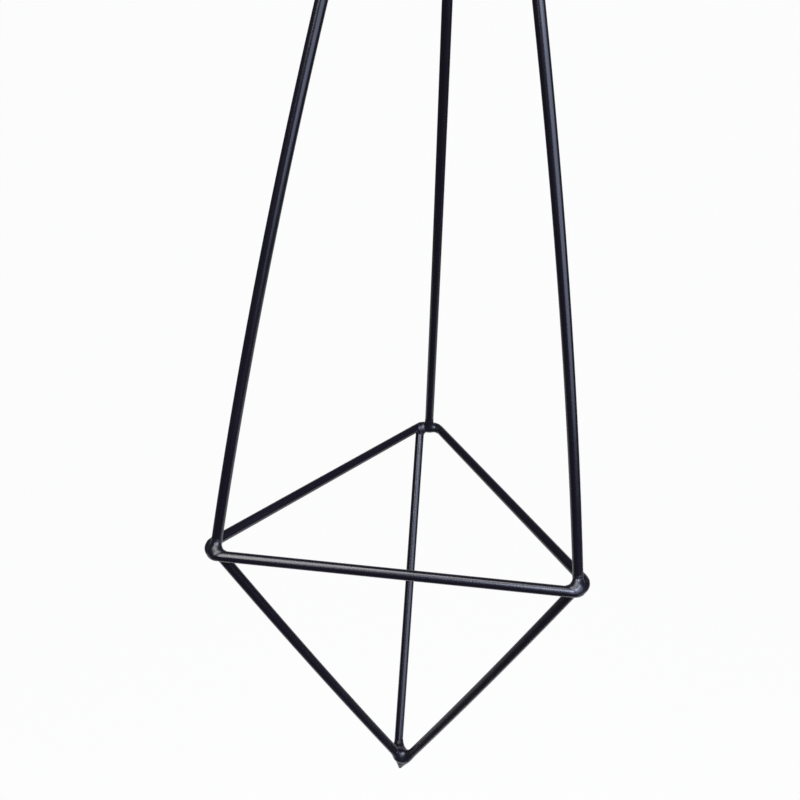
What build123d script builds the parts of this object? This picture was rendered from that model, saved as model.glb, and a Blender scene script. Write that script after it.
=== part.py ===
from build123d import *
from math import atan, cos, degrees, hypot, radians, sin, sqrt, tan
import os

# Hanging wire holder: a cage of round wire with a triangular ring at its widest level, three long
# upper rods that lean in to an apex, three short lower rods that meet at a tip, and an eye on top to
# hang it by. Millimetres, +Z up. The origin is the middle of the eye's hole, +X runs along the ring's
# front side and -Y faces the front.

# Wire
wire_d = 2.0  # coated diameter, the same wire everywhere
root_gap = 0.05  # left between a cut end and the wire it meets, filled by the weld
end_run = 6.0  # each rod is straight for this far at both ends, and bows between them

# Ring: an equal-sided triangle of bent wire
ring_side = 74.0  # between the sharp corners of its centre line
bend_inner_r = 2.1  # inside radius of each bent corner
stand_inset_share = 0.46  # of the wire, how far inside the bend's centre line a rod stands

# Upper rods
upper_rise = 161.3  # from the ring's level up to where their centre lines would meet
upper_sag = 3.0  # how far a rod bows out from its own chord

# Lower rods
lower_drop = 68.0  # from the ring's level down to where their centre lines meet
lower_sag = 0.35
tip_shift = 2.0  # the meeting point lies this far to the right of the upright axis
tip_overrun = 2.6  # the right rod runs on past the meeting point
rear_foot_shift = 2.1  # the rear rod stands this far to the left of its corner
rear_tip_shift = 1.5  # and aims this far to the left of the meeting point
rear_setback = 0.3  # and stops this much shorter than the left rod

# Eye
eye_hole_d = 10.0

# Welds: how far each nugget stands out past the wire that it holds
corner_throat = 0.9
corner_weld_inset = 0.3  # each corner nugget lies this far inside the rods' centre line
tip_throat = 1.2
apex_throat = 0.45

# Derived sizes
wire_r = wire_d / 2
bend_r = bend_inner_r + wire_r
sharp_corner_r = ring_side / sqrt(3)
bend_apex_r = sharp_corner_r - bend_r
stand_r = bend_apex_r - stand_inset_share * wire_d
corner_angles = {"left": radians(210), "right": radians(330), "rear": radians(90)}


def knee_height(chord, sag):
    """Height over a bowed rod's chord at which its two straight end runs would cross."""
    return 2 * sag * chord / (chord + 2 * end_run)


# Near the apex the upper rods lean by their chord's angle and half their own turn, and they are cut
# off level where the three just clear each other.
upper_chord = hypot(stand_r, upper_rise)
upper_half_turn = atan(2 * knee_height(upper_chord, upper_sag) / upper_chord)
head_tilt = atan(stand_r / upper_rise) + upper_half_turn
gather_r = (wire_r / cos(head_tilt) + root_gap / 2) / sin(radians(60))
head_below_apex = gather_r / tan(head_tilt)

# Levels, downwards from the eye
eye_r = eye_hole_d / 2 + wire_r
head_z = -(eye_r + wire_r + root_gap)
ring_z = head_z + head_below_apex - upper_rise
foot_z = ring_z + wire_r + root_gap
shoulder_z = ring_z - wire_r - root_gap
meeting = Vector(tip_shift, 0, ring_z - lower_drop)


def standing_point(side):
    """Where a rod's centre line crosses the ring's level at one corner."""
    angle = corner_angles[side]
    return Vector(stand_r * cos(angle), stand_r * sin(angle), ring_z)


def bowed(start, end, sag):
    """Start, knee and end of a rod that bows away from the upright axis by sag, and its arc's radius."""
    chord = end - start
    along = chord.normalized()
    outward = Vector(start.X, start.Y, 0).normalized()
    across = (outward - along * outward.dot(along)).normalized()
    height = knee_height(chord.length, sag)
    arc_tangent = hypot(chord.length / 2, height) - end_run
    radius = arc_tangent * chord.length / (2 * height)
    return (start, (start + end) / 2 + across * height, end), radius


# Ring: one wire bent round three corners and closed on itself
with BuildPart() as ring:
    with BuildLine(Plane.XY.offset(ring_z)) as ring_path:
        corners = [
            (sharp_corner_r * cos(angle), sharp_corner_r * sin(angle))
            for angle in corner_angles.values()
        ]
        FilletPolyline(*corners, radius=bend_r, close=True)
    with BuildSketch(Plane(origin=ring_path.line @ 0, z_dir=ring_path.line % 0)):
        Circle(wire_r)
    sweep(path=ring_path.line)

# Upper rods: each stands level on the ring's bent corner and is cut level under the eye
apex = Vector(0, 0, ring_z + upper_rise)
upper_rods = {}
for side in corner_angles:
    with BuildPart() as upper_rod:
        points, bow_r = bowed(standing_point(side), apex, upper_sag)
        with BuildLine() as rod_path:
            FilletPolyline(*points, radius=bow_r)
        with BuildSketch(Plane(origin=rod_path.line @ 0, z_dir=rod_path.line % 0)):
            Circle(wire_r)
        sweep(path=rod_path.line)
        split(bisect_by=Plane.XY.offset(foot_z), keep=Keep.TOP)
        split(bisect_by=Plane.XY.offset(head_z), keep=Keep.BOTTOM)
    upper_rods[side] = upper_rod

# Lower rods: the right one runs through the meeting point, the left one stops square where its edge
# clears the right one's side, and the rear one comes down beside them and stops a little shorter
right_run = (meeting - standing_point("right")).normalized()
left_run = (meeting - standing_point("left")).normalized()
tip_angle = radians(right_run.get_angle(left_run))
stop_short = (wire_r * (1 + cos(tip_angle)) + root_gap) / sin(tip_angle)
rear_start = standing_point("rear") - Vector(rear_foot_shift, 0, 0)
rear_aim = meeting - Vector(rear_tip_shift, 0, 0)
rear_run = (rear_aim - rear_start).normalized()
lower_ends = {
    "left": (standing_point("left"), meeting - left_run * stop_short),
    "right": (standing_point("right"), meeting + right_run * tip_overrun),
    "rear": (rear_start, rear_aim - rear_run * (stop_short + rear_setback)),
}
lower_rods = {}
for side, (start, end) in lower_ends.items():
    with BuildPart() as lower_rod:
        points, bow_r = bowed(start, end, lower_sag)
        with BuildLine() as rod_path:
            FilletPolyline(*points, radius=bow_r)
        with BuildSketch(Plane(origin=rod_path.line @ 0, z_dir=rod_path.line % 0)):
            Circle(wire_r)
        sweep(path=rod_path.line)
        split(bisect_by=Plane.XY.offset(shoulder_z), keep=Keep.BOTTOM)
    lower_rods[side] = lower_rod

# Hanging eye: a closed ring of the wire, upright, with its hole facing the front
with BuildPart() as hanging_eye:
    with BuildSketch(Plane.XY):
        with Locations((eye_r, 0)):
            Circle(wire_r)
    revolve(axis=Axis.Y)

# Corner welds: a nugget on the inside of each bent corner, round the ends of both rods
corner_welds = {}
for side, angle in corner_angles.items():
    nugget_r = stand_r - corner_weld_inset
    with BuildPart() as corner_weld:
        with Locations((nugget_r * cos(angle), nugget_r * sin(angle), ring_z)):
            Sphere(wire_r + corner_throat)
        add(ring.part, mode=Mode.SUBTRACT)
        add(upper_rods[side].part, mode=Mode.SUBTRACT)
        add(lower_rods[side].part, mode=Mode.SUBTRACT)
    corner_welds[side] = corner_weld

# Tip weld: gathers the three lower rods, from where they meet up to the ends of the cut ones
with BuildPart() as tip_weld:
    with Locations(meeting + Vector(0, 0, stop_short / 2)):
        Sphere(wire_r + tip_throat)
    for side in corner_angles:
        add(lower_rods[side].part, mode=Mode.SUBTRACT)

# Apex weld: gathers the heads of the upper rods under the eye
with BuildPart() as apex_weld:
    with Locations((0, 0, head_z - wire_r)):
        Sphere(gather_r + wire_r + apex_throat)
    for side in corner_angles:
        add(upper_rods[side].part, mode=Mode.SUBTRACT)
    add(hanging_eye.part, mode=Mode.SUBTRACT)

# Export, one file for each piece
pieces = {"ring": ring, "hanging_eye": hanging_eye, "tip_weld": tip_weld, "apex_weld": apex_weld}
for side in corner_angles:
    pieces[f"upper_rod_{side}"] = upper_rods[side]
    pieces[f"lower_rod_{side}"] = lower_rods[side]
    pieces[f"corner_weld_{side}"] = corner_welds[side]
os.makedirs("parts", exist_ok=True)
for name, piece in pieces.items():
    piece.part.label = name
    export_step(piece.part, f"parts/{name}.step")
print(f"ring level {ring_z:.3f}, heads {head_z:.3f}, tip {meeting.Z:.3f}")
print(f"lean at the heads {degrees(head_tilt):.2f} degrees")
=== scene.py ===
"""Looks of a hanging wire holder: a coated wire cage with smooth brazed joints, its studio and camera.

Metres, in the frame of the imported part: +Z up, the origin is the middle of the hanging eye's hole and
-Y faces the front.
"""

import logging
from dataclasses import dataclass, replace
from enum import Enum
from math import atan2, cos, hypot, pi, radians, sin, sqrt, tan
from typing import Callable

import bpy
import numpy as np
from mathutils import Matrix, Quaternion, Vector


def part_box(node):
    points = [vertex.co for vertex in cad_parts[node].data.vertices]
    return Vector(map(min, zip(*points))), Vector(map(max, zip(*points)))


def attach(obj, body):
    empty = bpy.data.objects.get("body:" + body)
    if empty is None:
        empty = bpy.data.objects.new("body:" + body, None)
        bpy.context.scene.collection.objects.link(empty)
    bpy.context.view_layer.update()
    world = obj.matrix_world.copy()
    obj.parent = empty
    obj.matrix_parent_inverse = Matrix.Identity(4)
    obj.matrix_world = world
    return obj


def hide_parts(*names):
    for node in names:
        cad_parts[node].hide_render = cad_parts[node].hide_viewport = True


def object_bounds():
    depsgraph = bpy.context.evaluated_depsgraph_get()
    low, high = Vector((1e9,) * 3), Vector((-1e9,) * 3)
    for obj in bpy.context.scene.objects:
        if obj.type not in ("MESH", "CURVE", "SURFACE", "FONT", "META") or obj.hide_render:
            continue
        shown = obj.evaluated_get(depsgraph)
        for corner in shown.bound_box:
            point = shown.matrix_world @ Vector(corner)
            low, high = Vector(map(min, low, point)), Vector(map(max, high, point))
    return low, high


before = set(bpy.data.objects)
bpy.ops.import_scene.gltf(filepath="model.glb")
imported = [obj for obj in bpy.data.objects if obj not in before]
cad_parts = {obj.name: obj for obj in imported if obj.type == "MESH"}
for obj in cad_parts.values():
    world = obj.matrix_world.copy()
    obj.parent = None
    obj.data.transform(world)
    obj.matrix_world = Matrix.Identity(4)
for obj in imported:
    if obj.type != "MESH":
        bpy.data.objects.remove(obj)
CAD_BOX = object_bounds()

MM = 0.001
BODY = "root"
DOWN = np.array([0.0, 0.0, -1.0])
BACK = np.array([0.0, 1.0, 0.0])
IMAGE_SIDE = 800
log = logging.getLogger("holder")

Triple = tuple[float, float, float]
Pair = tuple[float, float]
Poles = tuple[np.ndarray, np.ndarray]
Socket = bpy.types.NodeSocket
Tree = bpy.types.NodeTree
Field = Callable[[np.ndarray], np.ndarray]


def unit(vector: np.ndarray) -> np.ndarray:
    """The vector, or each vector of an array, at length one."""
    return vector / np.linalg.norm(vector, axis=-1, keepdims=True)


def set_out(name: str, data: bpy.types.ID) -> bpy.types.Object:
    """Puts a mesh, a lamp or a camera into the scene, at the origin.

    Args:
        name: The object's name.
        data: What it shows.

    Returns:
        The object.
    """
    thing = bpy.data.objects.new(name, data)
    bpy.context.scene.collection.objects.link(thing)
    return thing


class Corner(Enum):
    """A corner of the ring, by the direction it points in, in degrees from +X."""

    LEFT = 210.0
    RIGHT = 330.0
    REAR = 90.0

    @property
    def label(self) -> str:
        """The corner's word in the names of the pieces."""
        return self.name.lower()

    @property
    def outward(self) -> np.ndarray:
        """Unit vector from the upright axis to the corner."""
        return np.array([cos(radians(self.value)), sin(radians(self.value)), 0.0])

    @property
    def sideways(self) -> np.ndarray:
        """Unit vector at right angles to the outward one, anticlockwise from above."""
        return np.array([-sin(radians(self.value)), cos(radians(self.value)), 0.0])


class Slot(Enum):
    """Material slots of the record."""

    WIRE = "wire"
    WELD = "weld_metal"


@dataclass(frozen=True)
class Nose:
    """A rod's end that the torch has run out: towards it the wire thins and droops.

    The thinning is the share of the radius that is lost at the end, and the taper is its power.
    """

    length: float = 1.0 * MM
    thinned: float = 0.0
    taper: float = 1.5
    droop: float = 0.0

    def part(self, to_end: np.ndarray) -> np.ndarray:
        """Nought where the nose starts and one at the rod's end, from the distance left to the end."""
        return 1 - np.clip(to_end / self.length, 0, 1)


@dataclass(frozen=True)
class BentRun:
    """Centre line of a wire that runs straight, turns through one arc and runs straight again.

    The knee is where the two straight runs would cross. It is as far from the start as from the end.
    """

    start: np.ndarray
    knee: np.ndarray
    end: np.ndarray
    radius: float
    nose: Nose = Nose()

    @property
    def along(self) -> np.ndarray:
        """Unit vector from the start to the end."""
        return unit(self.end - self.start)

    @property
    def across(self) -> np.ndarray:
        """Unit vector from the middle of the chord to the knee."""
        return unit(self.knee - (self.start + self.end) / 2)

    @property
    def normal(self) -> np.ndarray:
        """Unit vector square to the plane of the run."""
        return np.cross(self.along, self.across)

    @property
    def half_turn(self) -> float:
        """Angle between the chord and either straight run."""
        rise = np.linalg.norm(self.knee - (self.start + self.end) / 2)
        return atan2(rise, np.linalg.norm(self.end - self.start) / 2)

    @property
    def leg(self) -> float:
        """Length of either straight run."""
        return float(np.linalg.norm(self.knee - self.start)) - self.radius * tan(self.half_turn)

    @property
    def length(self) -> float:
        """Length of the whole centre line."""
        return 2 * self.leg + 2 * self.half_turn * self.radius

    @property
    def underside(self) -> np.ndarray:
        """Unit vector square to the line's end, as near to straight down as that allows."""
        last = unit(self.end - self.knee)
        return unit(DOWN - last * (DOWN @ last))

    def girth(self, s: np.ndarray) -> np.ndarray:
        """Share of the wire's radius that is left: one, less the thinning times the nose's part^taper."""
        return 1 - self.nose.thinned * self.nose.part(self.length - s) ** self.nose.taper

    def turned(self, s: np.ndarray) -> np.ndarray:
        """Angle from the chord at each distance along the line, from plus to minus the half turn."""
        swept = np.clip(s - self.leg, 0, 2 * self.half_turn * self.radius) / self.radius
        return self.half_turn - swept

    def place(self, s: np.ndarray) -> np.ndarray:
        """Points of the centre line.

        Each straight run adds its length times the cosine and sine of the half turn. The arc adds its
        radius times the change of the sine along the chord, and of the cosine across it. Outside the
        line's length the straight runs go on. The nose droops by the square of its part.

        Args:
            s: Distances from the start, in an array of any shape.

        Returns:
            Points, with one more axis than s.
        """
        first = np.minimum(s, self.leg)
        last = np.maximum(s - self.length + self.leg, 0)
        angle = self.turned(s)
        x = (first + last) * cos(self.half_turn) + self.radius * (sin(self.half_turn) - np.sin(angle))
        y = (first - last) * sin(self.half_turn) + self.radius * (np.cos(angle) - cos(self.half_turn))
        drooped = self.nose.droop * self.nose.part(self.length - s) ** 2
        level = self.start + x[..., None] * self.along + y[..., None] * self.across
        return level + drooped[..., None] * self.underside

    def heading(self, s: np.ndarray) -> np.ndarray:
        """Unit vectors along the line at each distance."""
        angle = self.turned(s)[..., None]
        return np.cos(angle) * self.along + np.sin(angle) * self.across


@dataclass(frozen=True)
class CageSizes:
    """Sizes that the pieces of the cage share. Those without a value here come from the CAD nodes."""

    wire_r: float
    ring_level: float
    sharp_r: float
    bend_r: float
    eye_r: float
    head_level: float
    foot_level: float
    shoulder_level: float
    stand_inset: float = 0.92 * MM
    root_gap: float = 0.05 * MM
    end_run: float = 6.0 * MM
    upper_rise: float = 161.3 * MM
    upper_sag: float = 3.0 * MM
    lower_drop: float = 68.0 * MM
    lower_sag: float = 0.35 * MM
    tip_shift: float = 2.0 * MM
    tip_overrun: float = 2.6 * MM
    rear_foot_shift: float = 2.1 * MM
    rear_tip_shift: float = 1.5 * MM
    rear_setback: float = 0.3 * MM
    tip_nose: Nose = Nose(length=3.8 * MM, thinned=0.74, droop=0.36 * MM)

    @classmethod
    def from_frame(cls) -> "CageSizes":
        """Measures the CAD nodes.

        Returns:
            Sizes that agree with the frame.
        """
        ring_low, ring_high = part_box("ring")
        eye_low, eye_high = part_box("hanging_eye")
        foot, head = (corner.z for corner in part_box("upper_rod_rear"))
        wire_r = (ring_high.z - ring_low.z) / 2
        sharp_r = -2 * (ring_low.y + wire_r)
        return cls(
            wire_r=wire_r,
            ring_level=(ring_high.z + ring_low.z) / 2,
            sharp_r=sharp_r,
            bend_r=sharp_r + wire_r - ring_high.y,
            eye_r=(eye_high.x - eye_low.x) / 2 - wire_r,
            head_level=head,
            foot_level=foot,
            shoulder_level=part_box("lower_rod_rear")[1].z,
        )

    @property
    def meeting(self) -> np.ndarray:
        """Where the centre lines of the lower rods meet."""
        return np.array([self.tip_shift, 0.0, self.ring_level - self.lower_drop])

    def standing(self, corner: Corner) -> np.ndarray:
        """Where a rod's centre line crosses the ring's level."""
        stand_r = self.sharp_r - self.bend_r - self.stand_inset
        return stand_r * corner.outward + np.array([0.0, 0.0, self.ring_level])

    def bowed(self, start: np.ndarray, end: np.ndarray, sag: float) -> BentRun:
        """Centre line of a rod that is straight near both ends and bows outwards between them.

        The knee stands over the chord by 2 sag chord / (chord + 2 end run). The arc begins where each
        straight end run stops.

        Args:
            start: Where the rod starts, at the ring.
            end: Where it ends.
            sag: How far its middle is from the chord.

        Returns:
            The centre line.
        """
        chord = float(np.linalg.norm(end - start))
        along = (end - start) / chord
        outward = unit(start * np.array([1.0, 1.0, 0.0]))
        across = unit(outward - along * (outward @ along))
        rise = 2 * sag * chord / (chord + 2 * self.end_run)
        radius = (hypot(chord / 2, rise) - self.end_run) * chord / (2 * rise)
        return BentRun(start, (start + end) / 2 + across * rise, end, radius)

    def upper_line(self, corner: Corner) -> BentRun:
        """Centre line of an upper rod, from the ring to the apex."""
        apex = np.array([0.0, 0.0, self.ring_level + self.upper_rise])
        return self.bowed(self.standing(corner), apex, self.upper_sag)

    def lower_line(self, corner: Corner) -> BentRun:
        """Centre line of a lower rod.

        The right rod runs on past the meeting point. The left one stops square beside it, and the
        rear one, which stands and aims a little to the left, stops a little shorter.

        Args:
            corner: The corner that the rod hangs from.

        Returns:
            The centre line, down to the rod's end.
        """
        right_run = unit(self.meeting - self.standing(Corner.RIGHT))
        left_run = unit(self.meeting - self.standing(Corner.LEFT))
        cosine = float(right_run @ left_run)
        stop_short = (self.wire_r * (1 + cosine) + self.root_gap) / sqrt(1 - cosine**2)
        start = self.standing(corner)
        if corner is Corner.LEFT:
            end = self.meeting - left_run * stop_short
        elif corner is Corner.RIGHT:
            end = self.meeting + right_run * self.tip_overrun
            return replace(self.bowed(start, end, self.lower_sag), nose=self.tip_nose)
        else:
            start = start - np.array([self.rear_foot_shift, 0.0, 0.0])
            aim = self.meeting - np.array([self.rear_tip_shift, 0.0, 0.0])
            end = aim - unit(aim - start) * (stop_short + self.rear_setback)
        return self.bowed(start, end, self.lower_sag)


@dataclass(frozen=True)
class CoatSkin:
    """Uneven thickness of the sprayed coat, the same function of place on every piece.

    The thickness lost at a point is the mean of one minus many sine waves, each with its own
    direction, wavelength and phase. It is never under zero, so a wire stays inside its nominal size.
    """

    depth: float = 0.014 * MM
    shortest: float = 2.2 * MM
    longest: float = 16.0 * MM
    waves: int = 14
    seed: int = 11

    def lost(self, points: np.ndarray) -> np.ndarray:
        """Thickness missing from the nominal surface.

        Args:
            points: Points of any array shape, with x, y, z on the last axis.

        Returns:
            Thickness, from zero to the depth.
        """
        source = np.random.default_rng(self.seed)
        lengths = np.geomspace(self.shortest, self.longest, self.waves)
        directions = unit(source.normal(size=(self.waves, 3)))
        phases = source.uniform(0, 2 * pi, self.waves)
        swing = np.sin(points @ (directions * (2 * pi / lengths)[:, None]).T + phases)
        return self.depth * (1 - swing.mean(axis=-1)) / 2


def make_piece(name: str, grid: np.ndarray, poles: Poles | None) -> bpy.types.Object:
    """Puts a grid of points into a closed mesh of quads.

    Neighbours along a row and down a column share a quad, and every row closes on itself. Without poles
    the columns close too, as on a ring. With poles, a fan of triangles closes the first row and the
    last one.

    Args:
        name: The piece's name.
        grid: Points, rows by columns by 3.
        poles: The points beyond the first and the last row, or None.

    Returns:
        The object, at the origin, with smooth faces that point outwards.
    """
    rows, columns = grid.shape[:2]
    index = np.arange(rows * columns).reshape(rows, columns)
    beside = np.roll(index, -1, axis=1)
    if poles is None:
        below, below_beside = np.roll(index, -1, axis=0), np.roll(beside, -1, axis=0)
        quads = np.stack([index, beside, below_beside, below], axis=-1).reshape(-1, 4)
        points, triangles = grid.reshape(-1, 3), np.empty((0, 3), int)
    else:
        quads = np.stack([index[:-1], beside[:-1], beside[1:], index[1:]], axis=-1).reshape(-1, 4)
        points = np.vstack([grid.reshape(-1, 3), *poles])
        first, last = np.full(columns, rows * columns), np.full(columns, rows * columns + 1)
        fans = ([first, beside[0], index[0]], [last, index[-1], beside[-1]])
        triangles = np.vstack([np.stack(fan, axis=-1) for fan in fans])
    halves = np.vstack([quads[:, [0, 1, 2]], quads[:, [0, 2, 3]], triangles])
    a, b, c = (points[halves[:, k]] - points.mean(axis=0) for k in range(3))
    if (a * np.cross(b, c)).sum() < 0:
        quads, triangles = quads[:, ::-1], triangles[:, ::-1]
    corners = np.concatenate([quads.ravel(), triangles.ravel()])
    sizes = np.concatenate([np.full(len(quads), 4), np.full(len(triangles), 3)])
    mesh = bpy.data.meshes.new(name)
    mesh.vertices.add(len(points))
    mesh.vertices.foreach_set("co", points.astype(np.float32).ravel())
    mesh.loops.add(len(corners))
    mesh.loops.foreach_set("vertex_index", corners.astype(np.int32))
    mesh.polygons.add(len(sizes))
    starts = np.concatenate([[0], np.cumsum(sizes)[:-1]])
    mesh.polygons.foreach_set("loop_start", starts.astype(np.int32))
    mesh.update(calc_edges=True)
    mesh.validate()
    mesh.shade_smooth()
    return set_out(name, mesh)


@dataclass(frozen=True)
class WireSkin:
    """Skins centre lines with round coated wire."""

    wire_r: float
    coat: CoatSkin
    sides: int = 48
    spacing: float = 0.35 * MM
    fewest_rows: int = 8
    edge_r: float = 0.22 * MM
    edge_rows: int = 6

    def rows(self, line: BentRun) -> int:
        """How many rows a centre line gets."""
        return max(int(line.length / self.spacing), self.fewest_rows)

    def section(self) -> np.ndarray:
        """Cosine and sine round the wire times its radius."""
        around = np.linspace(0, 2 * pi, self.sides, endpoint=False)
        return self.wire_r * np.stack([np.cos(around), np.sin(around)], axis=-1)

    def surface(self, line: BentRun, s: np.ndarray) -> np.ndarray:
        """Skin points: the centre line plus the section times the girth, less the coat's loss.

        The section's first part lies along the normal of the line's plane, and its second along the
        third axis, square to both that normal and the heading.

        Args:
            line: The centre line.
            s: Distances along it, rows by sides.

        Returns:
            Points, rows by sides by 3.
        """
        section = self.section()
        third = np.cross(line.heading(s), line.normal)
        arm = (section[:, :1] * line.normal + section[:, 1:] * third) * line.girth(s)[..., None]
        centre = line.place(s)
        lost = self.coat.lost(centre + arm)[..., None] / self.wire_r
        return centre + arm * (1 - lost)

    def loop(self, lines: list[BentRun]) -> np.ndarray:
        """Skin of centre lines that follow each other round and close, all in one plane.

        Args:
            lines: The centre lines, each ending where the next starts.

        Returns:
            Points, rows by sides by 3.
        """
        parts = []
        for line in lines:
            s = np.linspace(0, line.length, self.rows(line), endpoint=False)
            parts.append(self.surface(line, np.repeat(s[:, None], self.sides, axis=1)))
        return np.concatenate(parts)

    def cut(self, line: BentRun, near: float, level: float | None) -> np.ndarray:
        """Distance along the line at which each side of the wire is cut.

        A level cut slides along the heading until it meets that height. A square cut is the same on
        every side.

        Args:
            line: The centre line.
            near: A distance on the straight run that is cut, which is the cut itself if level is None.
            level: The height of a level cut, or None for a square one.

        Returns:
            One distance for each side.
        """
        s = np.full((1, self.sides), near)
        if level is None:
            return s[0]
        points = self.surface(line, s)[0]
        return near + (level - points[:, 2]) / line.heading(s)[0, :, 2]

    def rod(self, line: BentRun, levels: tuple[float | None, float | None]) -> tuple[np.ndarray, Poles]:
        """Skin of a rod with both ends cut and their edges rounded.

        Each column runs from one cut to the other. At each end, rows of a quarter circle bring the edge
        in over edge_r, and a last row and a pole close the flat face.

        Args:
            line: The centre line.
            levels: The heights of level cuts at the start and the end, or None for square ones.

        Returns:
            The grid and its two poles.
        """
        first = self.cut(line, 0.0, levels[0])
        last = self.cut(line, line.length, levels[1])
        share = np.linspace(0, 1, self.rows(line))[:, None]
        bend = np.linspace(0, pi / 2, self.edge_rows)[:, None]
        back = self.edge_r * (1 - np.cos(bend))
        body = self.surface(line, first + self.edge_r + (last - first - 2 * self.edge_r) * share)
        start = self.shrunk(line, first + back, bend)
        end = self.shrunk(line, last - back, bend)
        grid = np.concatenate([start, body[1:-1], end[::-1]])
        return grid, (start[0].mean(axis=0), end[0].mean(axis=0))

    def shrunk(self, line: BentRun, s: np.ndarray, bend: np.ndarray) -> np.ndarray:
        """Rows of a rounded edge: the wire's radius is less by the edge's times one minus the sine.

        Args:
            line: The centre line.
            s: Distances along it, rows by sides.
            bend: Angle of each row round the quarter circle, from the flat face to the skin.

        Returns:
            Points, rows by sides by 3, the flat face's first.
        """
        centre = line.place(s)
        drawn = 1 - self.edge_r / self.wire_r * (1 - np.sin(bend))
        return centre + (self.surface(line, s) - centre) * drawn[..., None]


@dataclass(frozen=True)
class RoundCone:
    """Field of a straight round bar with round ends, whose radius changes evenly along it."""

    start: np.ndarray
    end: np.ndarray
    radii: Pair

    def __call__(self, points: np.ndarray) -> np.ndarray:
        """Distance from each point to the bar.

        A point's share along the bar is clipped between nought and one, and the bar's radius at that
        share is taken from the point's distance to that place.

        Args:
            points: Points of any array shape, with x, y, z on the last axis.

        Returns:
            One distance for each point, under nought inside the bar.
        """
        run = self.end - self.start
        share = np.clip((points - self.start) @ run / (run @ run), 0, 1)
        from_middle = np.linalg.norm(points - self.start - share[..., None] * run, axis=-1)
        return from_middle - self.radii[0] - (self.radii[1] - self.radii[0]) * share


@dataclass(frozen=True)
class Either:
    """Field of two shapes joined plainly, with no blend between them."""

    one: Field
    other: Field

    def __call__(self, points: np.ndarray) -> np.ndarray:
        """Distance from each point to the nearer shape."""
        return np.minimum(self.one(points), self.other(points))


@dataclass(frozen=True)
class BentCorner:
    """Field of the ring's wire near one of its bent corners."""

    sizes: CageSizes
    corner: Corner
    reach: float = pi / 3

    def __call__(self, points: np.ndarray) -> np.ndarray:
        """Distance from each point to the bent wire.

        In the ring's plane a point has an outward and a sideways coordinate from the bend's centre.
        Where its angle from outward is within the reach, its distance to the centre line is the
        difference of the radii. Beyond that it is the distance to the straight leg on the same side.

        Args:
            points: Points of any array shape, with x, y, z on the last axis.

        Returns:
            One distance for each point, under nought inside the wire.
        """
        sizes = self.sizes
        centre = (sizes.sharp_r - 2 * sizes.bend_r) * self.corner.outward
        out = (points - centre) @ self.corner.outward
        side = np.abs((points - centre) @ self.corner.sideways)
        on_bend = np.abs(np.hypot(out, side) - sizes.bend_r)
        on_leg = np.abs(out * cos(self.reach) + side * sin(self.reach) - sizes.bend_r)
        flat = np.where(np.arctan2(side, out) < self.reach, on_bend, on_leg)
        return np.hypot(flat, points[..., 2] - sizes.ring_level) - sizes.wire_r


@dataclass(frozen=True)
class EyeWire:
    """Field of the hanging eye's wire."""

    sizes: CageSizes

    def __call__(self, points: np.ndarray) -> np.ndarray:
        """Distance from each point to a circle in the plane of X and Z, less the wire's radius."""
        from_circle = np.hypot(points[..., 0], points[..., 2]) - self.sizes.eye_r
        return np.hypot(from_circle, points[..., 1]) - self.sizes.wire_r


def stretch(line: BentRun, first: float, last: float, radius: float) -> RoundCone:
    """Field of the wire between two places on one straight run of its centre line."""
    return RoundCone(*line.place(np.array([first, last])), (radius, radius))


@dataclass(frozen=True)
class Blend:
    """How wide a weld's metal rounds the corners between its wires.

    The width falls along the lean, so more metal lies on the other side. Each wire after the first
    takes its own share of it.
    """

    middle: float
    lean: Triple = (0.0, 0.0, 0.0)
    bounds: Pair | None = None
    shares: tuple[float, ...] = (1.0, 1.0, 1.0)

    def width(self, offset: np.ndarray) -> np.ndarray:
        """Width of the blend at some places.

        It is the middle's width less the offset times the lean. Where there are bounds, it eases from
        the least into the most along a cubic step.

        Args:
            offset: Places, measured from the weld's centre.

        Returns:
            One width for each place.
        """
        wanted = self.middle - offset @ np.array(self.lean)
        if self.bounds is None:
            return wanted
        least, most = self.bounds
        share = np.clip((wanted - least) / (most - least), 0, 1)
        return least + (most - least) * share**2 * (3 - 2 * share)


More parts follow.
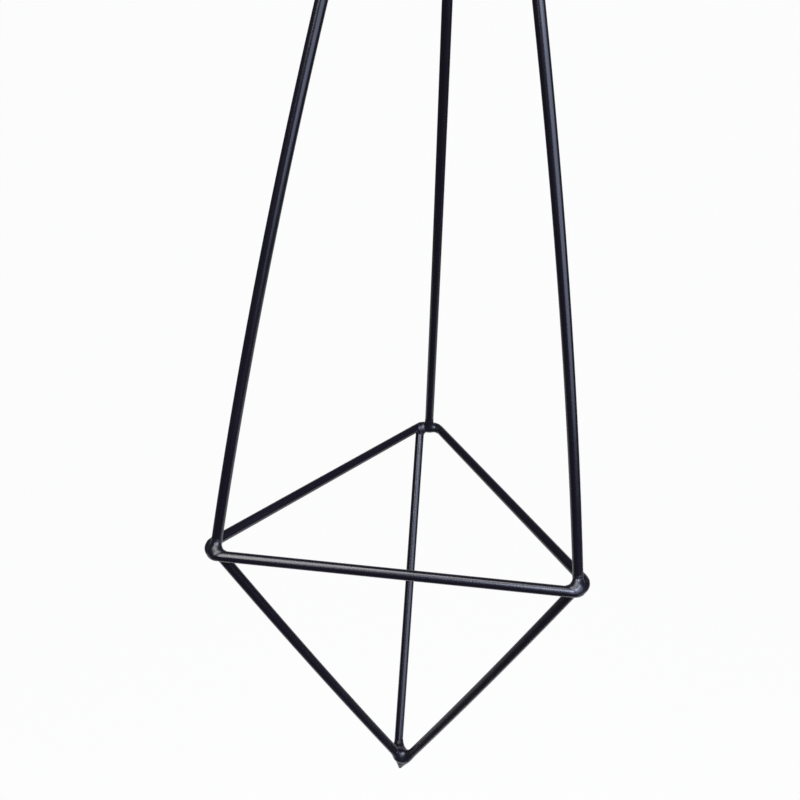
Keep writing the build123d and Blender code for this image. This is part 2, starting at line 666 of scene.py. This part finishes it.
@dataclass(frozen=True)
class Fillet:
    """Brazing metal that has run into the corners between wires and set with a smooth concave face.

    Its surface is where a blended distance to the wires is nought. Each two distances blend to their
    smaller one less (k - difference)^2 / 4k where the difference is under k, which is the blend's width
    there. Past the core a growing amount is added, so the face sinks into the wires in a soft toe, and
    the metal ends inside them.
    """

    centre: np.ndarray
    wires: tuple[Field, ...]
    pole: np.ndarray
    blend: Blend
    core: float
    reach: float
    shy_of: tuple[np.ndarray, float] | None = None
    shyness: float = 300.0
    proud: float = 0.03 * MM
    sink: float = 2.2 * MM
    rows: int = 190
    columns: int = 300
    steps: int = 48
    halvings: int = 26
    overshoot: float = 1.3
    off_pole: Triple = (0.3, 1.0, 0.2)

    def field(self, points: np.ndarray) -> np.ndarray:
        """The blended distance, less the height that the metal stands proud, plus what sinks its rim.

        The rim's part grows with the square of the distance past the core, and is the whole sink at
        the reach. Where the metal is shy of a plane, the square of the distance past that plane is
        added too, times the shyness.

        Args:
            points: Points of any array shape, with x, y, z on the last axis.

        Returns:
            A value for each point, under nought inside the metal.
        """
        width = self.blend.width(points - self.centre)
        blended = self.wires[0](points)
        for wire, share in zip(self.wires[1:], self.blend.shares, strict=True):
            other, own = wire(points), width * share
            overlap = np.maximum(own - np.abs(blended - other), 0)
            blended = np.minimum(blended, other) - overlap**2 / (4 * own)
        past = np.maximum(np.linalg.norm(points - self.centre, axis=-1) - self.core, 0)
        rim = self.sink * (past / (self.reach - self.core)) ** 2
        if self.shy_of is not None:
            direction, limit = self.shy_of
            rim = rim + self.shyness * np.maximum(points @ direction - limit, 0) ** 2
        return blended - self.proud + rim

    def grid(self) -> tuple[np.ndarray, Poles]:
        """Points where rays from the centre first leave the metal.

        The rays are those of a globe about the pole, turned so that it starts square to off_pole. Each
        is stepped along, up to the overshoot times the reach, until the field turns positive, and that
        step is then halved many times over, all rays at once.

        Returns:
            The grid of the surface and its two poles.
        """
        third = unit(np.cross(self.pole, self.off_pole))
        axes = np.stack([third, np.cross(self.pole, third), self.pole])
        tilt = np.linspace(0, pi, self.rows + 2)[:, None]
        turn = np.linspace(0, 2 * pi, self.columns, endpoint=False)[None, :]
        across = np.sin(tilt) * np.stack([np.cos(turn), np.sin(turn)])
        globe = np.stack(np.broadcast_arrays(*across, np.cos(tilt)), axis=-1)
        rays = globe @ axes
        marks = np.linspace(0, self.reach * self.overshoot, self.steps)
        outside = np.stack([self.field(self.centre + rays * mark) > 0 for mark in marks])
        first = np.argmax(outside, axis=0)
        low, high = marks[np.maximum(first - 1, 0)], marks[first]
        for _ in range(self.halvings):
            middle = (low + high) / 2
            out = self.field(self.centre + rays * middle[..., None]) > 0
            low, high = np.where(out, low, middle), np.where(out, middle, high)
        surface = self.centre + rays * ((low + high) / 2)[..., None]
        return surface[1:-1], (surface[0, 0], surface[-1, 0])


class Step(Enum):
    """A step of arithmetic in a shader."""

    ADD = "ADD"
    TIMES = "MULTIPLY"
    LARGER = "MAXIMUM"
    UNDER = "LESS_THAN"


class Ease(Enum):
    """How a value is carried from one span onto another."""

    EVEN = "LINEAR"
    SMOOTH = "SMOOTHSTEP"


@dataclass
class Bench:
    """Lays out the nodes of one shader tree."""

    tree: Tree

    def node(self, kind: str) -> bpy.types.Node:
        """A new shader node, by its kind, such as Bump or Mix."""
        return self.tree.nodes.new(f"ShaderNode{kind}")

    def feed(self, value: Socket | float, target: Socket) -> None:
        """Sets a plain number on a socket, or links another socket to it.

        Args:
            value: The number or the socket.
            target: The socket that takes it.
        """
        if isinstance(value, float):
            target.default_value = value
        else:
            self.tree.links.new(value, target)

    def work_out(self, step: Step, first: Socket, second: Socket | float) -> Socket:
        """Adds one step of arithmetic.

        Args:
            step: The step.
            first: Its first value.
            second: Its second value.

        Returns:
            The result.
        """
        node = self.node("Math")
        node.operation = step.value
        self.feed(first, node.inputs[0])
        self.feed(second, node.inputs[1])
        return node.outputs[0]

    def carried(self, value: Socket, span: Pair, onto: Pair, ease: Ease = Ease.EVEN) -> Socket:
        """Carries a value from one span onto another.

        Args:
            value: The value.
            span: The two ends that it is taken from.
            onto: The two ends that it is brought to.
            ease: How it moves between them.

        Returns:
            The result, which stays between the ends.
        """
        node = self.node("MapRange")
        node.interpolation_type = ease.value
        for label, number in zip(("From Min", "From Max", "To Min", "To Max"), (*span, *onto)):
            node.inputs[label].default_value = number
        self.feed(value, node.inputs["Value"])
        return node.outputs[0]

    def noise(self, place: Socket, scale: Socket | float, detail: float) -> Socket:
        """Adds a noise.

        Args:
            place: The coordinates that it is drawn on.
            scale: Its scale.
            detail: Its detail.

        Returns:
            The noise, from nought to one.
        """
        node = self.node("TexNoise")
        node.inputs["Detail"].default_value = detail
        self.feed(place, node.inputs["Vector"])
        self.feed(scale, node.inputs["Scale"])
        return node.outputs["Fac"]


@dataclass(frozen=True)
class CoatTexture:
    """The texture of every coat: orange peel, a fine grain, nibs, and a gloss and tone that wander.

    Each noise is given by its scale, per metre, and its detail.
    """

    title: str = "Powder coat texture"
    peel_detail: float = 1.0
    grain: Pair = (5200.0, 2.0)
    grain_share: float = 0.18
    nib_cells: float = 420.0
    nib_reach: float = 0.09
    nib_height: float = 1.6
    broad_gloss: Pair = (75.0, 3.0)
    broad_share: float = 0.7
    fine_gloss: Pair = (2400.0, 1.0)
    fine_share: float = 0.3
    tone: Pair = (38.0, 4.0)

    def nibs(self, bench: Bench, place: Socket, share: Socket) -> Socket:
        """Height of the nibs: a smooth cap in the middle of each Voronoi cell that is picked.

        A cell is picked where its random number is under the share.

        Args:
            bench: The bench of the group.
            place: The coordinates that they are laid on.
            share: Share of the cells that have a nib.

        Returns:
            The height, nought between the nibs.
        """
        cells = bench.node("TexVoronoi")
        cells.inputs["Scale"].default_value = self.nib_cells
        bench.feed(place, cells.inputs["Vector"])
        drawn = bench.node("SeparateColor")
        bench.feed(cells.outputs["Color"], drawn.inputs[0])
        picked = bench.work_out(Step.UNDER, drawn.outputs[0], share)
        span, onto = (self.nib_reach, 0.0), (0.0, self.nib_height)
        cap = bench.carried(cells.outputs["Distance"], span, onto, Ease.SMOOTH)
        return bench.work_out(Step.TIMES, picked, cap)

    def group(self) -> Tree:
        """The node group: peel scale and nib share go in, and height, gloss and tone come out.

        The height is the peel, a share of the grain and the nibs. The gloss is a share of the broad
        noise and a share of the fine one.

        Returns:
            The node group, built once.
        """
        if self.title in bpy.data.node_groups:
            return bpy.data.node_groups[self.title]
        tree = bpy.data.node_groups.new(self.title, "ShaderNodeTree")
        for label in ("Peel scale", "Nib share"):
            tree.interface.new_socket(label, in_out="INPUT", socket_type="NodeSocketFloat")
        for label in ("Height", "Gloss", "Tone"):
            tree.interface.new_socket(label, in_out="OUTPUT", socket_type="NodeSocketFloat")
        given = tree.nodes.new("NodeGroupInput").outputs
        result = tree.nodes.new("NodeGroupOutput").inputs
        bench = Bench(tree)
        place = bench.node("TexCoord").outputs["Object"]
        peel = bench.noise(place, given["Peel scale"], self.peel_detail)
        grain = bench.work_out(Step.TIMES, bench.noise(place, *self.grain), self.grain_share)
        nibs = self.nibs(bench, place, given["Nib share"])
        height = bench.work_out(Step.ADD, bench.work_out(Step.ADD, peel, grain), nibs)
        broad = bench.work_out(Step.TIMES, bench.noise(place, *self.broad_gloss), self.broad_share)
        fine = bench.work_out(Step.TIMES, bench.noise(place, *self.fine_gloss), self.fine_share)
        bench.feed(height, result["Height"])
        bench.feed(bench.work_out(Step.ADD, broad, fine), result["Gloss"])
        bench.feed(bench.noise(place, *self.tone), result["Tone"])
        return tree


@dataclass(frozen=True)
class CoatFinish:
    """Black powder coat: two close tones, a roughness that wanders, fine orange peel and a few nibs."""

    name: str
    deep: Triple
    pale: Triple
    smooth: float
    rough: float
    specular: float
    peel_size: float
    peel_height: float
    nib_share: float
    gloss_span: Pair = (0.3, 0.7)

    def material(self) -> bpy.types.Material:
        """Builds the material, in which the shared texture feeds tone, roughness and bump.

        Returns:
            The material.
        """
        paint = bpy.data.materials.new(self.name)
        paint.use_nodes = True
        bench = Bench(paint.node_tree)
        shader = paint.node_tree.nodes["Principled BSDF"]
        shader.inputs["Metallic"].default_value = 0.0
        shader.inputs["Specular IOR Level"].default_value = self.specular
        texture = bench.node("Group")
        texture.node_tree = CoatTexture().group()
        texture.inputs["Peel scale"].default_value = 1 / self.peel_size
        texture.inputs["Nib share"].default_value = self.nib_share
        tone = bench.node("Mix")
        tone.data_type = "RGBA"
        tone.inputs["A"].default_value = (*self.deep, 1.0)
        tone.inputs["B"].default_value = (*self.pale, 1.0)
        bench.feed(texture.outputs["Tone"], tone.inputs["Factor"])
        bench.feed(tone.outputs["Result"], shader.inputs["Base Color"])
        gloss = bench.carried(texture.outputs["Gloss"], self.gloss_span, (self.smooth, self.rough))
        bench.feed(gloss, shader.inputs["Roughness"])
        bump = bench.node("Bump")
        bump.inputs["Strength"].default_value = 1.0
        bump.inputs["Distance"].default_value = self.peel_height
        bench.feed(texture.outputs["Height"], bump.inputs["Height"])
        bench.feed(bump.outputs["Normal"], shader.inputs["Normal"])
        return paint


@dataclass
class Workshop:
    """What every sub-assembly needs: the sizes, the skin maker and the two finishes."""

    sizes: CageSizes
    skin: WireSkin
    wire_coat: bpy.types.Material
    weld_coat: bpy.types.Material

    def make(
        self, name: str, node: str, slot: Slot, grid: np.ndarray, poles: Poles | None = None
    ) -> None:
        """Makes a piece, dresses it and sets it in place of its CAD node.

        Args:
            name: The piece's name.
            node: The CAD node that it stands for.
            slot: The record's slot that its finish belongs to.
            grid: Points of its surface, rows by columns by 3.
            poles: The points that close its columns, or None where they close on themselves.
        """
        piece = make_piece(name, grid, poles)
        piece.data.materials.append(self.wire_coat if slot is Slot.WIRE else self.weld_coat)
        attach(piece, BODY)
        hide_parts(node)
        log.info("%s: %d faces", piece.name, len(piece.data.polygons))


@dataclass
class Ring:
    """The triangular ring: one wire bent round three corners and closed on itself."""

    shop: Workshop

    def lines(self) -> list[BentRun]:
        """Centre lines from the middle of each side round a corner to the middle of the next.

        Returns:
            Three lines that close on each other.
        """
        sizes = self.shop.sizes
        level = np.array([0.0, 0.0, sizes.ring_level])
        sharp = [level + sizes.sharp_r * corner.outward for corner in Corner]
        runs = []
        for before, knee, after in zip(sharp[-1:] + sharp[:-1], sharp, sharp[1:] + sharp[:1]):
            runs.append(BentRun((before + knee) / 2, knee, (knee + after) / 2, sizes.bend_r))
        return runs

    def build(self) -> None:
        """Builds and dresses the ring."""
        self.shop.make("ring_wire", "ring", Slot.WIRE, self.shop.skin.loop(self.lines()))


@dataclass
class HangingEye:
    """The closed eye on top, upright, with its hole facing the front."""

    shop: Workshop
    arcs: int = 3

    def lines(self) -> list[BentRun]:
        """Arcs of one circle about the origin, each with no straight run.

        Returns:
            The arcs, which close on each other.
        """
        radius, share = self.shop.sizes.eye_r, 2 * pi / self.arcs
        knee_r = radius / cos(share / 2)

        def at(angle: float, distance: float) -> np.ndarray:
            """Point of the upright plane, by its angle from straight down."""
            return np.array([distance * sin(angle), 0.0, -distance * cos(angle)])

        runs = []
        for k in range(self.arcs):
            start, end = at(k * share, radius), at((k + 1) * share, radius)
            runs.append(BentRun(start, at((k + 0.5) * share, knee_r), end, radius))
        return runs

    def build(self) -> None:
        """Builds and dresses the eye."""
        self.shop.make("eye_wire", "hanging_eye", Slot.WIRE, self.shop.skin.loop(self.lines()))


@dataclass
class UpperRods:
    """The three long rods, cut level on the ring and under the eye."""

    shop: Workshop

    def build(self) -> None:
        """Builds and dresses the rods."""
        sizes = self.shop.sizes
        for corner in Corner:
            rod = self.shop.skin.rod(sizes.upper_line(corner), (sizes.foot_level, sizes.head_level))
            names = (f"upper_wire_{corner.label}", f"upper_rod_{corner.label}")
            self.shop.make(*names, Slot.WIRE, *rod)


@dataclass
class LowerRods:
    """The three short rods, cut level under the ring and square at the tip."""

    shop: Workshop

    def build(self) -> None:
        """Builds and dresses the rods."""
        sizes = self.shop.sizes
        for corner in Corner:
            rod = self.shop.skin.rod(sizes.lower_line(corner), (sizes.shoulder_level, None))
            names = (f"lower_wire_{corner.label}", f"lower_rod_{corner.label}")
            self.shop.make(*names, Slot.WIRE, *rod)


@dataclass
class Joint:
    """What the brazed joints share: how the metal of a weld becomes a dressed piece."""

    shop: Workshop

    def stub(self, line: BentRun, short: float) -> Field:
        """Field of a rod's last straight stretch, half an end run long.

        Args:
            line: The rod's centre line.
            short: How far before the line's end the stretch stops.

        Returns:
            The field.
        """
        last = line.length - short
        return stretch(line, last - self.shop.sizes.end_run / 2, last, self.shop.sizes.wire_r)

    def run_in(self, node: str, fillet: Fillet) -> None:
        """Makes a weld's piece. The coat's loss comes off its skin along the rays from its centre.

        Args:
            node: The weld's CAD node.
            fillet: Its metal.
        """
        grid, poles = fillet.grid()
        rays = unit(grid - fillet.centre)
        grid = grid - rays * self.shop.skin.coat.lost(grid)[..., None]
        self.shop.make(node.replace("weld", "fillet"), node, Slot.WELD, grid, poles)


@dataclass
class CornerWelds(Joint):
    """The three joints of the ring with an upper and a lower rod.

    Most metal lies inside the bend, below it, and in front of it at the two front corners. The lower
    rod takes a narrower blend than the upper one, and no metal passes the bend's centre line by much.
    """

    blend: float = 1.3 * MM
    bounds: Pair = (0.35 * MM, 2.4 * MM)
    shares: Pair = (1.0, 0.4)
    lean_out: float = 0.50
    lean_back: float = 1.2124
    lean_up: float = 0.22
    core: float = 2.6 * MM
    reach: float = 4.3 * MM
    shy: float = 0.05 * MM

    def lean(self, corner: Corner) -> Triple:
        """Where the metal thins out: outwards, upwards and, at the two front corners, backwards.

        The backward part is in proportion to how far the corner points along X.

        Args:
            corner: The corner.

        Returns:
            The lean of its blend.
        """
        back = self.lean_back * abs(corner.outward[0]) * BACK
        return tuple(self.lean_out * corner.outward + back - self.lean_up * DOWN)

    def metal(self, corner: Corner) -> Fillet:
        """The weld's metal at one corner.

        Args:
            corner: The corner.

        Returns:
            The fillet round the ring and the straight ends of the two rods.
        """
        sizes = self.shop.sizes
        rods = (sizes.upper_line(corner), sizes.lower_line(corner))
        ends = (stretch(rod, 0.0, sizes.end_run, sizes.wire_r) for rod in rods)
        return Fillet(
            centre=sizes.standing(corner),
            wires=(BentCorner(sizes, corner), *ends),
            pole=-DOWN,
            blend=Blend(self.blend, self.lean(corner), self.bounds, self.shares),
            core=self.core,
            reach=self.reach,
            shy_of=(corner.outward, sizes.sharp_r - sizes.bend_r - self.shy),
        )

    def build(self) -> None:
        """Builds and dresses the joints."""
        for corner in Corner:
            self.run_in(f"corner_weld_{corner.label}", self.metal(corner))


@dataclass
class TipWeld(Joint):
    """The joint where the three lower rods meet, whose metal has run down into a drip.

    Its places are measured from the meeting point, and the drip's end from the right rod's. The blend
    widens upwards, so a web stands between the rods. The cut rods' stretches stop a hold short of the
    cuts, and their round caps cover them.
    """

    centre: Triple = (-0.4 * MM, 0.0 * MM, 0.35 * MM)
    blend: float = 1.4 * MM
    bounds: Pair = (0.85 * MM, 2.7 * MM)
    lean: Triple = (0.0, 0.0, -0.75)
    core: float = 4.3 * MM
    reach: float = 6.0 * MM
    hold: float = 0.65 * MM
    drip_start: Triple = (-0.65 * MM, -0.35 * MM, 0.1 * MM)
    drip_aside: Triple = (-0.05 * MM, -0.85 * MM, 0.66 * MM)
    drip_r: Pair = (1.05 * MM, 0.36 * MM)

    def run_out(self, line: BentRun) -> Field:
        """Field of the right rod's end: the whole wire as far as its nose, and a cone down the nose.

        Args:
            line: The rod's centre line.

        Returns:
            The field.
        """
        wire_r = self.shop.sizes.wire_r
        end_r = float(line.girth(np.array(line.length))) * wire_r
        nose = line.place(np.array([line.length - line.nose.length, line.length - end_r]))
        return Either(self.stub(line, line.nose.length), RoundCone(*nose, (wire_r, end_r)))

    def drip(self, line: BentRun) -> Field:
        """Field of the drip, which runs from the meeting point to beside the right rod's end.

        Args:
            line: The right rod's centre line.

        Returns:
            The field.
        """
        start = self.shop.sizes.meeting + np.array(self.drip_start)
        end = line.place(np.array(line.length - self.drip_r[1])) + np.array(self.drip_aside)
        return RoundCone(start, end, self.drip_r)

    def build(self) -> None:
        """Builds and dresses the joint."""
        sizes = self.shop.sizes
        left, right, rear = (sizes.lower_line(corner) for corner in Corner)
        ends = (self.stub(left, self.hold), self.run_out(right), self.stub(rear, self.hold))
        metal = Fillet(
            centre=sizes.meeting + np.array(self.centre),
            wires=(*ends, self.drip(right)),
            pole=-DOWN,
            blend=Blend(self.blend, self.lean, self.bounds),
            core=self.core,
            reach=self.reach,
        )
        self.run_in("tip_weld", metal)


@dataclass
class ApexWeld(Joint):
    """The joint that gathers the heads of the upper rods. The drop is its centre's below their cuts."""

    blend: float = 1.4 * MM
    core: float = 3.1 * MM
    reach: float = 4.9 * MM
    drop: float = 0.4 * MM

    def build(self) -> None:
        """Builds and dresses the joint."""
        sizes = self.shop.sizes
        heads = (self.stub(sizes.upper_line(corner), sizes.end_run / 2) for corner in Corner)
        metal = Fillet(
            centre=np.array([0.0, 0.0, sizes.head_level - self.drop]),
            wires=(EyeWire(sizes), *heads),
            pole=BACK,
            blend=Blend(self.blend),
            core=self.core,
            reach=self.reach,
        )
        self.run_in("apex_weld", metal)


@dataclass(frozen=True)
class PhotoCamera:
    """The photograph's camera, fitted to the rods: place from the ring's middle, angles and framing."""

    place: Triple = (15.02 * MM, -155.72 * MM, 97.92 * MM)
    azimuth: float = 1.6068
    elevation: float = 0.4254
    roll: float = 0.080
    focal_px: float = 900.0
    centre_px: Pair = (464.8, 393.9)
    sensor: float = 36.0
    nearest: float = 0.005
    farthest: float = 50.0

    def axes(self) -> tuple[np.ndarray, np.ndarray, np.ndarray]:
        """Unit vectors to the picture's right, up the picture and along the view.

        Returns:
            The three vectors.
        """
        flat = cos(self.elevation)
        ahead = np.array([cos(self.azimuth) * flat, sin(self.azimuth) * flat, -sin(self.elevation)])
        level = np.array([sin(self.azimuth), -cos(self.azimuth), 0.0])
        upright = np.cross(level, ahead)
        right = cos(self.roll) * level + sin(self.roll) * upright
        return right, np.cross(right, ahead), ahead

    def build(self, ring_level: float) -> None:
        """Makes the camera. Its shift is what the photograph's cropped framing needs.

        Args:
            ring_level: Height of the ring.
        """
        data = bpy.data.cameras.new("photo_camera")
        data.sensor_width = self.sensor
        data.lens = self.sensor * self.focal_px / IMAGE_SIDE
        data.shift_x = 0.5 - self.centre_px[0] / IMAGE_SIDE
        data.shift_y = self.centre_px[1] / IMAGE_SIDE - 0.5
        data.clip_start, data.clip_end = self.nearest, self.farthest
        camera = set_out("photo_camera", data)
        right, up, ahead = self.axes()
        turn = Matrix((right, up, -ahead)).transposed().to_4x4()
        camera.matrix_world = Matrix.Translation(Vector(self.place) + Vector((0, 0, ring_level))) @ turn
        bpy.context.scene.camera = camera


@dataclass(frozen=True)
class Lamp:
    """A soft panel lamp, aimed at the ring's middle and turned about its own beam."""

    name: str
    place: Triple
    size: Pair
    power: float
    colour: Triple
    turn: float = 0.0

    def build(self, target: Vector) -> None:
        """Makes the lamp.

        Args:
            target: The point that it faces, from which its place is also measured.
        """
        data = bpy.data.lights.new(self.name, "AREA")
        data.shape = "RECTANGLE"
        data.size, data.size_y = self.size
        data.energy = self.power
        data.color = self.colour
        lamp = set_out(self.name, data)
        lamp.location = target + Vector(self.place)
        lamp.rotation_mode = "QUATERNION"
        aim = (-Vector(self.place)).to_track_quat("-Z", "Y")
        lamp.rotation_quaternion = aim @ Quaternion((0.0, 0.0, 1.0), radians(self.turn))


@dataclass(frozen=True)
class Studio:
    """A white sweep under and behind the holder, panel lamps and a dim room."""

    lamps: tuple[Lamp, ...]
    floor_drop: float = 0.30
    sweep_half_width: float = 0.75
    sweep_front: float = -0.03
    sweep_back: float = 1.1
    sweep_height: float = 0.7
    sweep_bend: float = 0.3
    bend_rows: int = 24
    columns: int = 9
    paper_tone: float = 0.86
    paper_roughness: float = 0.9
    paper_glow: float = 0.96
    paper_in_gloss: float = 0.5
    room_light: Triple = (0.06, 0.06, 0.07)
    room_in_gloss: float = 0.02

    def sweep(self, floor_level: float) -> bpy.types.Object:
        """The floor and the backdrop as one sheet.

        A column runs back along the floor, up through a quarter circle and up the wall. The sheet is
        that profile carried from side to side.

        Args:
            floor_level: Height of the floor.

        Returns:
            The sheet.
        """
        bend = np.linspace(0, pi / 2, self.bend_rows)
        depth = self.sweep_back - self.sweep_bend + self.sweep_bend * np.sin(bend)
        height = self.sweep_bend * (1 - np.cos(bend))
        floor, wall = [self.sweep_front, 0.0], [self.sweep_back, self.sweep_height]
        profile = np.concatenate([[floor], np.stack([depth, height], axis=-1), [wall]])
        across = np.linspace(-self.sweep_half_width, self.sweep_half_width, self.columns)
        points = np.empty((len(profile), len(across), 3))
        points[..., 0] = across[None, :]
        points[..., 1] = profile[:, :1]
        points[..., 2] = profile[:, 1:] + floor_level
        index = np.arange(points[..., 0].size).reshape(points.shape[:2])
        quads = np.stack([index[:-1, :-1], index[:-1, 1:], index[1:, 1:], index[1:, :-1]], axis=-1)
        mesh = bpy.data.meshes.new("studio_sweep")
        mesh.from_pydata(points.reshape(-1, 3).tolist(), [], quads.reshape(-1, 4).tolist())
        mesh.shade_smooth()
        return set_out("studio_sweep", mesh)

    def whitened(
        self, bench: Bench, lit: Socket, white: Socket, in_gloss: float, most: float
    ) -> Socket:
        """Mixes a lit shader with a plain white one, by how far a ray sees plain white.

        The camera and glass see it fully and a reflection sees it in part. The factor is the larger of
        the camera's, the transmission's and in_gloss times the glossy ray's mark, times the most.

        Args:
            bench: The bench of the material or the world.
            lit: What the lamps light.
            white: What shows plain white.
            in_gloss: What a glossy ray counts, from nought to one.
            most: The most that any ray sees.

        Returns:
            The mixed shader.
        """
        ray = bench.node("LightPath").outputs
        glossy = bench.work_out(Step.TIMES, ray["Is Glossy Ray"], in_gloss)
        plain = bench.work_out(Step.LARGER, ray["Is Camera Ray"], ray["Is Transmission Ray"])
        seen = bench.work_out(Step.TIMES, bench.work_out(Step.LARGER, plain, glossy), most)
        blend = bench.node("MixShader")
        for value, target in zip((seen, lit, white), blend.inputs, strict=True):
            bench.feed(value, target)
        return blend.outputs[0]

    def paper(self) -> bpy.types.Material:
        """White paper, whose lit part keeps the holder's shadow.

        Returns:
            The material.
        """
        paper = bpy.data.materials.new("studio_paper")
        paper.use_nodes = True
        nodes, bench = paper.node_tree.nodes, Bench(paper.node_tree)
        shader = nodes["Principled BSDF"]
        shader.inputs["Base Color"].default_value = (*[self.paper_tone] * 3, 1.0)
        shader.inputs["Roughness"].default_value = self.paper_roughness
        shader.inputs["Specular IOR Level"].default_value = 0.0
        glow = bench.node("Emission")
        glow.inputs["Strength"].default_value = 1.0
        shares = (self.paper_in_gloss, self.paper_glow)
        look = self.whitened(bench, shader.outputs[0], glow.outputs[0], *shares)
        bench.feed(look, nodes["Material Output"].inputs["Surface"])
        return paper

    def room(self) -> None:
        """The world: white to the camera, faint in reflections, and an even room for light."""
        world = bpy.data.worlds.new("room")
        world.use_nodes = True
        bpy.context.scene.world = world
        nodes, bench = world.node_tree.nodes, Bench(world.node_tree)
        dim, white = nodes["Background"], bench.node("Background")
        dim.inputs["Color"].default_value = (*self.room_light, 1.0)
        white.inputs["Color"].default_value = (1.0, 1.0, 1.0, 1.0)
        look = self.whitened(bench, dim.outputs[0], white.outputs[0], self.room_in_gloss, 1.0)
        bench.feed(look, nodes["World Output"].inputs["Surface"])

    def build(self, sizes: CageSizes) -> None:
        """Makes the room, the sweep and the lamps.

        Args:
            sizes: The cage that stands in the studio.
        """
        self.room()
        sheet = self.sweep(CAD_BOX[0].z - self.floor_drop)
        sheet.data.materials.append(self.paper())
        for lamp in self.lamps:
            lamp.build(Vector((0.0, 0.0, sizes.ring_level)))
        bpy.context.scene.view_settings.view_transform = "Standard"


WIRE_COAT = CoatFinish(
    name="black_powder_coat",
    deep=(0.0016, 0.0008, 0.0038),
    pale=(0.0030, 0.0018, 0.0064),
    smooth=0.22,
    rough=0.30,
    specular=0.80,
    peel_size=1.4 * MM,
    peel_height=0.0022 * MM,
    nib_share=0.05,
)
WELD_COAT = CoatFinish(
    name="black_powder_coat_on_braze",
    deep=(0.0018, 0.0012, 0.0044),
    pale=(0.0034, 0.0026, 0.0074),
    smooth=0.30,
    rough=0.38,
    specular=0.82,
    peel_size=0.7 * MM,
    peel_height=0.006 * MM,
    nib_share=0.10,
)
STUDIO = Studio(
    lamps=(
        Lamp(
            name="overhead_panel",
            place=(0.06, -0.06, 0.66),
            size=(0.16, 0.14),
            power=0.36,
            colour=(0.98, 0.98, 1.0),
        ),
        Lamp(
            name="left_panel",
            place=(-0.18, -0.307, 0.532),
            size=(0.19, 0.85),
            power=3.4,
            colour=(0.98, 0.98, 1.0),
            turn=9.0,
        ),
        Lamp(
            name="right_panel",
            place=(0.44, -0.44, 0.26),
            size=(0.84, 0.75),
            power=4.8,
            colour=(0.64, 0.73, 1.0),
        ),
        Lamp(
            name="high_panel",
            place=(0.22, -0.39, 0.46),
            size=(0.34, 0.34),
            power=3.9,
            colour=(0.72, 0.78, 1.0),
        ),
    )
)


def main() -> None:
    """Builds the cage from the ring outwards, then the studio and the camera."""
    logging.basicConfig(level=logging.INFO, format="%(name)s: %(message)s")
    sizes = CageSizes.from_frame()
    skin = WireSkin(sizes.wire_r, CoatSkin())
    shop = Workshop(sizes, skin, WIRE_COAT.material(), WELD_COAT.material())
    for assembly in (Ring, UpperRods, LowerRods, HangingEye, CornerWelds, TipWeld, ApexWeld):
        assembly(shop).build()
    STUDIO.build(sizes)
    PhotoCamera().build(sizes.ring_level)


if __name__ == "__main__":
    main()
